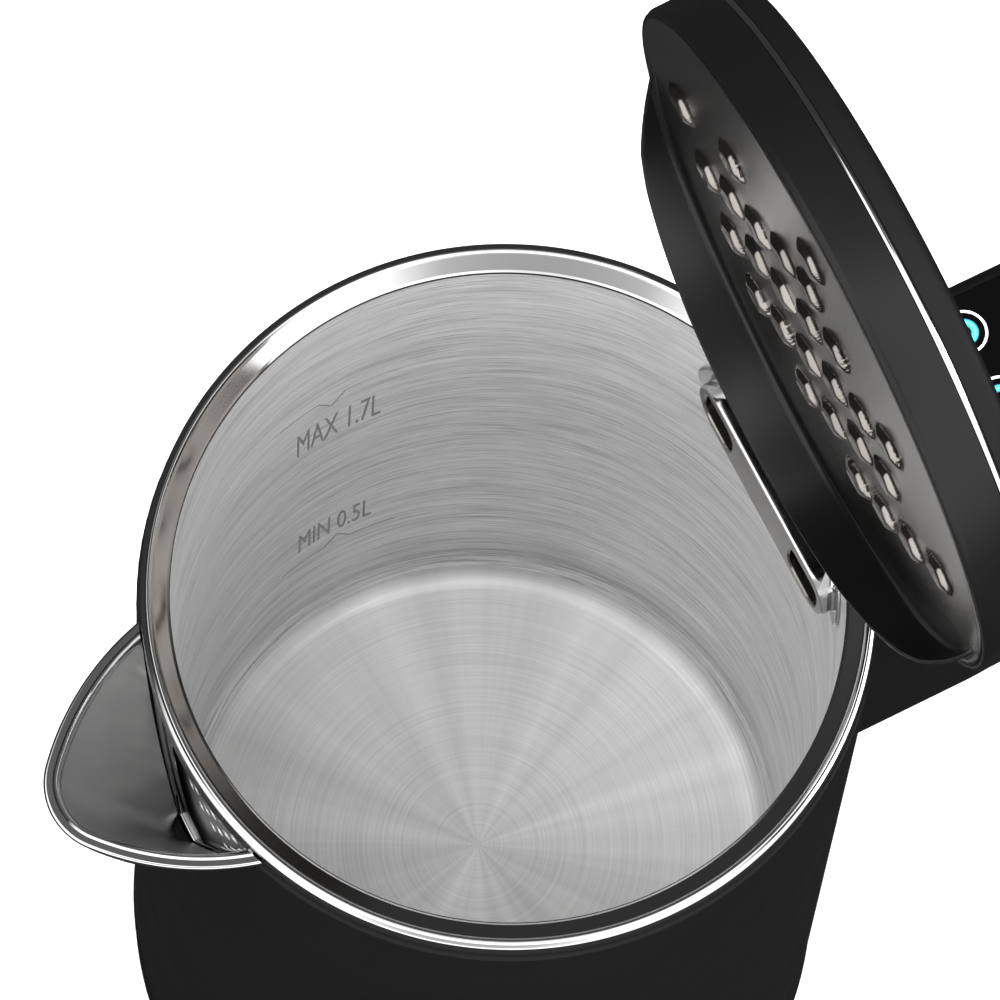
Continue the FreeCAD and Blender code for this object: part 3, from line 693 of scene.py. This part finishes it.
def jug_core(radius, low, high):
    """Round cutter with the jug's own taper."""
    verts, faces = turned([(0.01, low), (radius(low), low), (radius(high), high), (0.01, high)], 192)
    mesh = bpy.data.meshes.new("core")
    mesh.from_pydata([(x * MM, y * MM, z * MM) for x, y, z in verts], [], faces)
    piece = bpy.data.objects.new("core", mesh)
    bpy.context.scene.collection.objects.link(piece)
    work = bmesh.new()
    work.from_mesh(mesh)
    bmesh.ops.remove_doubles(work, verts=work.verts, dist=2e-5)
    bmesh.ops.recalc_face_normals(work, faces=work.faces)
    work.to_mesh(mesh)
    work.free()
    bpy.context.view_layer.update()
    return piece


def make_spout():
    """Spout: black outer skin, polished channel with a rounded lip, and its folded edge."""
    down = list(range(188, 243, 2))
    skin = [(z, 0.0) for z in down] + [(LIP_Z - 0.1, 0.0), (LIP_Z - 0.1, 1.8)]
    skin += [(z, 1.8) for z in reversed(down)]
    verts, faces = spout_sheet(skin)
    piece = make_piece("spout_skin", verts, faces, [SHELL_BLACK], "jug")
    carve(piece, [jug_core(lambda z: 74.4 - (z - 23.0) * 5.8 / 217.3 + 0.03, 150.0, 242.7)])
    tidy_mesh(piece, 35)
    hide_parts("spout_shell")

    lip = [(LIP_Z, 0.05), (LIP_Z + 0.25, -0.15), (LIP_Z + 1.0, -0.15), (LIP_Z + 1.5, 0.05),
           (LIP_Z + 1.66, 0.25), (LIP_Z + 1.72, 0.4), (LIP_Z + 1.73, 0.6),
           (LIP_Z + 1.79, 1.45), (LIP_Z + 1.8, 1.65), (LIP_Z + 2.0, 1.85), (LIP_Z + 2.25, 2.1),
           (LIP_Z + 2.25, 2.4), (LIP_Z + 2.0, 2.65), (LIP_Z + 1.5, 2.85), (LIP_Z + 0.6, 3.0),
           (LIP_Z + 0.3, 2.85), (LIP_Z, 2.8)]
    channel = lip + [(z, 2.8) for z in reversed(down)] + [(z, 2.0) for z in down]
    channel += [(LIP_Z, 2.0)]
    verts, faces = spout_sheet(channel)
    # The lip keeps its mirror polish; the channel below it is only buffed.
    count = len(spout_line(LIP_Z, 0.0)) - 1
    finish = [0 if i < count * (len(lip) - 1) else 1 for i in range(len(faces))]
    piece = make_piece("spout_channel", verts, faces, [STEEL_POLISHED, SPOUT_STEEL], "jug", finish)
    carve(piece, [jug_core(lambda z: 67.0 if z < 241.0 else 68.0, 150.0, 241.2),
                  jug_core(lambda z: 68.25, 241.1, 252.0)])
    tidy_mesh(piece, 40)
    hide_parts("spout_liner")

    outer, inner = 67.2, 65.3
    rows = []
    for k in range(-46, 47):
        a = math.radians(180.0 + 0.5 * k)
        x, y = outer * math.cos(a), abs(outer * math.sin(a))
        low, high = 187.0, 243.0
        for _ in range(24):
            mid = (low + high) / 2
            if spout_half_width(x, mid, 2.8) > y:
                high = mid
            else:
                low = mid
        top = min(high, 240.4)
        rows.append([(r * math.cos(a), r * math.sin(a), z) for r, z in
                     ((outer, top - 0.2), (outer - 0.25, top + 0.25), (outer - 0.7, top + 0.35),
                      (inner + 0.5, top + 0.1), (inner + 0.1, top - 0.2), (inner, top - 0.7),
                      (inner, top - 4.0), (inner + 0.5, top - 4.0), (outer, top - 1.2))])
    n = len(rows[0])
    verts = [p for row in rows for p in row]
    faces = []
    for i in range(len(rows) - 1):
        for k in range(n):
            m = (k + 1) % n
            faces.append((i * n + k, (i + 1) * n + k, (i + 1) * n + m, i * n + m))
    faces.append(tuple(range(n)))
    faces.append(tuple(range((len(rows) - 1) * n, len(rows) * n))[::-1])
    piece = make_piece("spout_folded_edge", verts, faces, [STEEL_POLISHED], "jug")


# ------------------------------------------------------------------ vent housing

def oval_ring(half_l, height, side=28):
    """Outline of a plate with round ends, in Y and Z about its middle."""
    r = height / 2
    points = []
    for sign in (1, -1):
        for k in range(side + 1):
            a = math.pi / 2 - math.pi * k / side
            points.append((sign * (half_l - r + r * math.cos(a)), sign * r * math.sin(a)))
    out = []
    for i, p in enumerate(points):
        q = points[(i + 1) % len(points)]
        out.append(p)
        gap = math.hypot(q[0] - p[0], q[1] - p[1])
        if gap > 5.0:
            out += [(p[0] + (q[0] - p[0]) * t / 12, p[1] + (q[1] - p[1]) * t / 12)
                    for t in range(1, 12)]
    return out


def oval_solid(name, steps):
    """Solid through oval rings given as (x or None for the wall, half length, height, wall r)."""
    verts, faces = [], []
    n = len(oval_ring(25.0, 14.0))
    for x, half_l, height, wall_r in steps:
        for y, z in oval_ring(half_l, height):
            place = x if x is not None else math.sqrt(wall_r ** 2 - y ** 2)
            verts.append((place, y, 225.0 + z))
    for i in range(len(steps) - 1):
        for k in range(n):
            m = (k + 1) % n
            faces.append((i * n + k, (i + 1) * n + k, (i + 1) * n + m, i * n + m))
    faces.append(tuple(range(n)))
    faces.append(tuple(range((len(steps) - 1) * n, len(steps) * n))[::-1])
    return verts, faces


def loose_cutter(verts, faces):
    mesh = bpy.data.meshes.new("cutter")
    mesh.from_pydata([(x * MM, y * MM, z * MM) for x, y, z in verts], [], faces)
    work = bmesh.new()
    work.from_mesh(mesh)
    bmesh.ops.recalc_face_normals(work, faces=work.faces)
    work.to_mesh(mesh)
    work.free()
    piece = bpy.data.objects.new("cutter", mesh)
    bpy.context.scene.collection.objects.link(piece)
    bpy.context.view_layer.update()
    return piece


def window_cutter(y_mid):
    """Steam window: rounded, a little pointed at one corner, with a small bevel in front."""
    outline = soften([(y_mid - 5.4, -4.4, 3.0), (y_mid + 5.4, -4.4, 3.6),
                      (y_mid + 5.4, 4.4, 3.0), (y_mid - 5.4, 4.4, 3.6)], closed=True, steps=8)
    verts, faces = [], []
    n = len(outline)
    for x, grow in ((53.0, 1.16), (53.9, 1.08), (54.35, 1.0), (58.5, 1.0)):
        verts += [(x, y_mid + (p.x - y_mid) * grow, 225.0 + p.y * grow) for p in outline]
    for i in range(3):
        for k in range(n):
            m = (k + 1) % n
            faces.append((i * n + k, (i + 1) * n + k, (i + 1) * n + m, i * n + m))
    faces.append(tuple(range(n)))
    faces.append(tuple(range(3 * n, 4 * n))[::-1])
    return loose_cutter(verts, faces)


def make_vent_housing():
    """Satin steel plate with two steam windows, on a chrome-bright wall with a flange."""
    body = [(54.0, 24.3, 12.6, 0), (54.02, 24.6, 13.2, 0), (54.2, 24.85, 13.7, 0),
            (54.6, 25.0, 14.0, 0), (None, 25.0, 14.0, 61.2), (None, 25.3, 14.6, 61.7),
            (None, 27.6, 19.2, 61.8), (None, 28.0, 20.0, 62.1), (None, 28.0, 20.0, 62.42)]
    verts, faces = oval_solid("vent_housing", body)
    finish = []
    n = len(oval_ring(25.0, 14.0))
    for index in range(len(faces)):
        front = index < n or index == len(faces) - 2
        finish.append(0 if front else 1)
    piece = make_piece("vent_housing", verts, faces, [STEEL_PRESSED, STEEL_POLISHED], "jug",
                       finish, crease=30)
    hollow = [(55.2, 23.8, 11.6, 0), (None, 23.8, 11.6, 63.5)]
    carve(piece, [loose_cutter(*oval_solid("hollow", hollow)), window_cutter(-17.0),
                  window_cutter(17.0)])
    tidy_mesh(piece, 30)
    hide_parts("vent_housing")


# ------------------------------------------------------------------ lid

LEAF_ROWS = {0: (48.0, 32.0, 13.5, -7.0, -27.5), 1: (24.5, 4.0, -17.5), 2: (13.5, -3.5, -26.5),
             3: (24.5, 4.0, -17.5), 4: (-7.0,), 5: (5.0,)}
LEAVES = [(-row, 9.6 * side * col) for col, rows in LEAF_ROWS.items() for row in rows
          for side in ((1,) if col == 0 else (1, -1))]


def leaf_relief(x, y):
    """Height of the pressed leaves over the flat pan, in millimetres, for arrays of points."""
    out = np.zeros_like(x)
    for lx, ly in LEAVES:
        du, dy = (x - lx) / 3.9, (y - ly) / 4.9
        half = np.clip(1 - np.abs(dy) ** 1.3, 1e-6, 1.0)
        inside = (np.abs(du) < half) & (np.abs(dy) < 1.0)
        rho = np.clip(np.abs(du) / half, 0.0, 1.0)
        height = 1.7 * (1 - rho ** 4) * np.clip(half * 1.6, 0, 1) ** 0.7
        dish = 0.6 * np.clip(1 - (rho / 0.7) ** 2, 0, 1) * half
        out = np.where(inside, np.maximum(out, height - dish), out)
    return out


def make_lid_pan():
    rings, turns = 200, 800
    outer = 63.2
    r = 0.05 + (outer - 0.05) * np.arange(rings + 1) / rings
    a = 2 * math.pi * np.arange(turns) / turns
    x = (r[:, None] * np.cos(a)[None]).ravel()
    y = (r[:, None] * np.sin(a)[None]).ravel()
    height = leaf_relief(x, y)
    radius = np.hypot(x, y)
    height += np.where(radius > 61.9, 0.16 * np.sin(math.pi * np.clip(radius - 61.9, 0, 1.3) / 1.3), 0)
    flat = np.minimum(x, 61.6)
    verts = list(zip(flat.tolist(), y.tolist(), (LID_Z - height).tolist()))
    faces = []
    for k in range(rings):
        for i in range(turns):
            j = (i + 1) % turns
            faces.append((k * turns + i, k * turns + j, (k + 1) * turns + j, (k + 1) * turns + i))
    base = len(verts)
    for ring_r in (outer, 0.05):
        for i in range(turns):
            b = 2 * math.pi * i / turns
            verts.append((min(ring_r * math.cos(b), 61.6), ring_r * math.sin(b), LID_Z + 1.05))
    edge = rings * turns
    for i in range(turns):
        j = (i + 1) % turns
        faces.append((edge + i, edge + j, base + j, base + i))
        faces.append((base + i, base + j, base + turns + j, base + turns + i))
        faces.append((base + turns + i, base + turns + j, j, i))
    piece = make_piece("lid_pan", swing_open(verts), faces, [STEEL_PRESSED], "lid", crease=60)
    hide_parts("lid_pan")
    return piece


def skirt_drop(x):
    """How far the drip skirt hangs below the pan, by distance towards the hinge."""
    marks = [(6.0, 0.0), (10.0, 0.7), (14.0, 1.8), (20.0, 3.6), (28.5, 6.3), (36.0, 7.7),
             (45.0, 8.8), (54.0, 9.8), (62.0, 10.3)]
    if x <= marks[0][0]:
        return 0.0
    for (a, u), (b, v) in zip(marks[:-1], marks[1:]):
        if x <= b:
            t = (x - a) / (b - a)
            return u + (v - u) * t
    return marks[-1][1]


def make_skirt():
    """Curved wall at the hinge side of the pan, with a rounded root and a rolled lip."""
    steps, half = 200, 84.0
    verts, faces = [], []
    for i in range(steps + 1):
        a = math.radians(-half + 2 * half * i / steps)
        drop = max(skirt_drop(60.7 * math.cos(a)), 0.12)
        root = min(1.6, drop * 0.8)
        lip = min(0.4, drop * 0.4)
        row = []
        for k in range(7):
            t = math.pi / 2 * k / 6
            row.append((60.3 - root * (1 - math.sin(t)), -root * (1 - math.cos(t)) + 0.02))
        for k in range(9):
            t = math.pi * k / 8
            row.append((60.7 - 0.4 * math.cos(t), -drop + lip - lip * math.sin(t)))
        row += [(61.1, 0.3), (60.3 - root, 0.3)]
        for r, h in row:
            verts.append((r * math.cos(a), r * math.sin(a), LID_Z + h))
    n = len(verts) // (steps + 1)
    for i in range(steps):
        for k in range(n):
            m = (k + 1) % n
            faces.append((i * n + k, (i + 1) * n + k, (i + 1) * n + m, i * n + m))
    faces.append(tuple(range(n)))
    faces.append(tuple(range(steps * n, (steps + 1) * n))[::-1])
    piece = make_piece("lid_drip_skirt", swing_open(verts), faces, [SKIRT_BLACK], "lid")
    return piece


def make_lid_ring():
    z = LID_Z
    outline = soften([(63.25, z + 0.1), (63.7, z, 0.3), (64.1, z + 0.1, 0.4), (64.6, z + 1.2, 0.8),
                      (64.6, z + 9.7, 0.25), (62.0, z + 9.7), (62.0, z + 2.8), (50.0, z + 2.8),
                      (50.0, z + 0.8), (63.25, z + 0.8)], closed=True)
    verts, faces = turned([tuple(p) for p in outline], 300)
    piece = make_piece("lid_ring", swing_open(verts), faces, [LID_BLACK], "lid")
    axis = [cutter_rod(3.3, (HINGE_X, y - 2.8, HINGE_Z), (HINGE_X, y + 2.8, HINGE_Z), 48)
            for y in (-19.6, 19.6)]
    axis.append(cutter_rod(2.62, (HINGE_X, -16.9, HINGE_Z), (HINGE_X, 16.9, HINGE_Z), 48))
    carve(piece, axis)
    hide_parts("lid_ring")
    return piece


def make_lid_top():
    z = LID_Z + 9.7
    trim = soften([(60.8, z), (64.7, z, 0.2), (64.9, z + 0.35, 0.3), (64.9, z + 0.75, 0.3),
                   (64.7, z + 1.1, 0.2), (60.8, z + 1.1)], closed=True)
    verts, faces = turned([tuple(p) for p in trim], 300)
    piece = make_piece("lid_trim_line", swing_open(verts), faces, [TRIM_CHROME], "lid")
    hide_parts("lid_trim_ring")
    z0, top = LID_Z + 10.8, LID_Z + 16.4
    cap = soften([(0.02, top), (30.0, top - 0.05), (55.0, top - 0.12, 6.0), (64.4, top - 0.35, 2.6),
                  (64.4, z0 + 0.2, 0.2), (64.1, z0), (62.2, z0), (62.2, top - 3.4, 1.0),
                  (61.0, top - 2.4), (0.02, top - 2.2)], closed=True, steps=10)
    verts, faces = turned([tuple(p) for p in cap], 300)
    piece = make_piece("lid_cap", swing_open(verts), faces, [SHELL_BLACK], "lid")
    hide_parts("lid_cap")


# ------------------------------------------------------------------ build

make_vessel()
make_level_marks()
make_rim()
make_spout()
make_vent_housing()
make_lid_pan()
make_skirt()
make_lid_ring()
make_lid_top()

finish_node(["outer_shell"], SHELL_BLACK)
finish_node(["rim_gasket"], SEAL_BLACK)
finish_node(["handle_body", "handle_spine", "hinge_block", "lid_hinge_arm"], HANDLE_BLACK)
finish_node(["base_shell", "base_plate", "base_connector", "jug_base_cover"], BASE_BLACK)
finish_node(["base_feet", "cord_gland"], FOOT_RUBBER)
finish_node(["touch_panel"], PANEL_BLACK)
finish_node(["white_rings"], RING_WHITE)
finish_node(["blue_rings"], RING_BLUE)
finish_node(["terminal_block", "swivel_ring", "steam_duct", "dry_boil_control", "jug_connector",
             "bottom_frame"], INNER_GREY)
finish_node(["heating_plate"], ALUMINIUM)
finish_node(["heating_element", "temperature_sensor"], ELEMENT)
finish_node(["contact_ring", "contact_sleeve"], BRASS)
finish_node(["base_screws", "jug_screws", "handle_screws", "lid_screws", "hinge_pin"], SCREW)
finish_node(["control_board"], BOARD)
finish_node(["wire_harness"], WIRE)


# ------------------------------------------------------------------ studio

def make_floor():
    """Pale matt worktop."""
    material, tree, shader = new_material("worktop_matt_white", "#f4f4f3", 0.0, 0.8)
    place = add(tree, "ShaderNodeTexCoord").outputs["Object"]
    tone = add(tree, "ShaderNodeTexNoise", {"Vector": place, "Scale": 3.0, "Detail": 2.0})
    tree.links.new(ramp(tree, tone.outputs["Fac"], [(0.3, "#f2f2f1"), (0.7, "#f7f7f6")]),
                   shader.inputs["Base Color"])
    mesh = bpy.data.meshes.new("worktop")
    mesh.from_pydata([(-4, -4, 0), (4, -4, 0), (4, 4, 0), (-4, 4, 0)], [], [(0, 1, 2, 3)])
    mesh.materials.append(material)
    floor = bpy.data.objects.new("worktop", mesh)
    bpy.context.scene.collection.objects.link(floor)
    # The worktop is hidden from glossy rays, which keeps it out of the kettle's shiny faces.
    floor.visible_glossy = False


def softbox(name, place, target, width, height, power, shows=True):
    """Area light; one that doesn't show only fills in the matt surfaces."""
    light = bpy.data.lights.new(name, "AREA")
    light.shape = "RECTANGLE"
    light.size, light.size_y = width, height
    light.energy = power
    holder = bpy.data.objects.new(name, light)
    holder.location = place
    aim = Vector(target) - Vector(place)
    holder.rotation_mode = "QUATERNION"
    holder.rotation_quaternion = aim.to_track_quat("-Z", "Y")
    holder.visible_glossy = shows
    bpy.context.scene.collection.objects.link(holder)


def make_studio():
    """Wide soft light from the front and above, dark behind, and a fill for the worktop."""
    world = bpy.data.worlds.new("studio")
    bpy.context.scene.world = world
    world.use_nodes = True
    tree = world.node_tree
    back = tree.nodes["Background"]
    place = add(tree, "ShaderNodeTexCoord").outputs["Generated"]
    towards = add(tree, "ShaderNodeVectorMath", {0: place, 1: (-0.347, -0.54, 0.766)},
                  operation="DOT_PRODUCT").outputs["Value"]
    tone = ramp(tree, towards, [(0.0, 0.05), (0.36, 0.08), (0.5, 2.1), (0.88, 2.6), (0.96, 0.85), (1.0, 0.62)])
    # The dark gap between the ceiling boxes, behind the kettle and nearly overhead.
    gap = add(tree, "ShaderNodeVectorMath", {0: place, 1: (0.164, 0.253, 0.953)},
              operation="DOT_PRODUCT").outputs["Value"]
    shade = ramp(tree, gap, [(0.93, 1.0), (0.965, 0.08)])
    light = add(tree, "ShaderNodeVectorMath", {0: tone, 1: shade}, operation="MULTIPLY")
    tree.links.new(light.outputs[0], back.inputs["Color"])
    back.inputs["Strength"].default_value = 1.0
    softbox("side_box", (1.5, -0.9, 1.1), (0, 0, 0.2), 1.0, 0.8, 14.0)
    softbox("fill_above", (0.0, 0.0, 2.6), (0, 0, 0), 4.0, 4.0, 190.0, shows=False)


def make_camera():
    """Long lens, high above the spout side, leaning a little."""
    data = bpy.data.cameras.new("camera")
    data.lens = 216.0
    data.sensor_width = 36.0
    data.clip_start, data.clip_end = 0.05, 20.0
    camera = bpy.data.objects.new("camera", data)
    turn, rise, lean = math.radians(-33.0), math.radians(72.465), math.radians(6.3)
    back = Vector((math.sin(turn) * math.cos(rise), -math.cos(turn) * math.cos(rise),
                   math.sin(rise)))
    right = Vector((math.cos(turn), math.sin(turn), 0.0))
    up = back.cross(right)
    right_l = right * math.cos(lean) + up * math.sin(lean)
    up_l = up * math.cos(lean) - right * math.sin(lean)
    camera.rotation_mode = "QUATERNION"
    camera.rotation_quaternion = Matrix((right_l, up_l, back)).transposed().to_quaternion()
    camera.location = (-0.1755, -0.26387, 1.30355)
    bpy.context.scene.collection.objects.link(camera)
    bpy.context.scene.camera = camera


make_floor()
make_studio()
make_camera()

view_settings = bpy.context.scene.view_settings
view_settings.view_transform = "Standard"

bpy.context.view_layer.update()
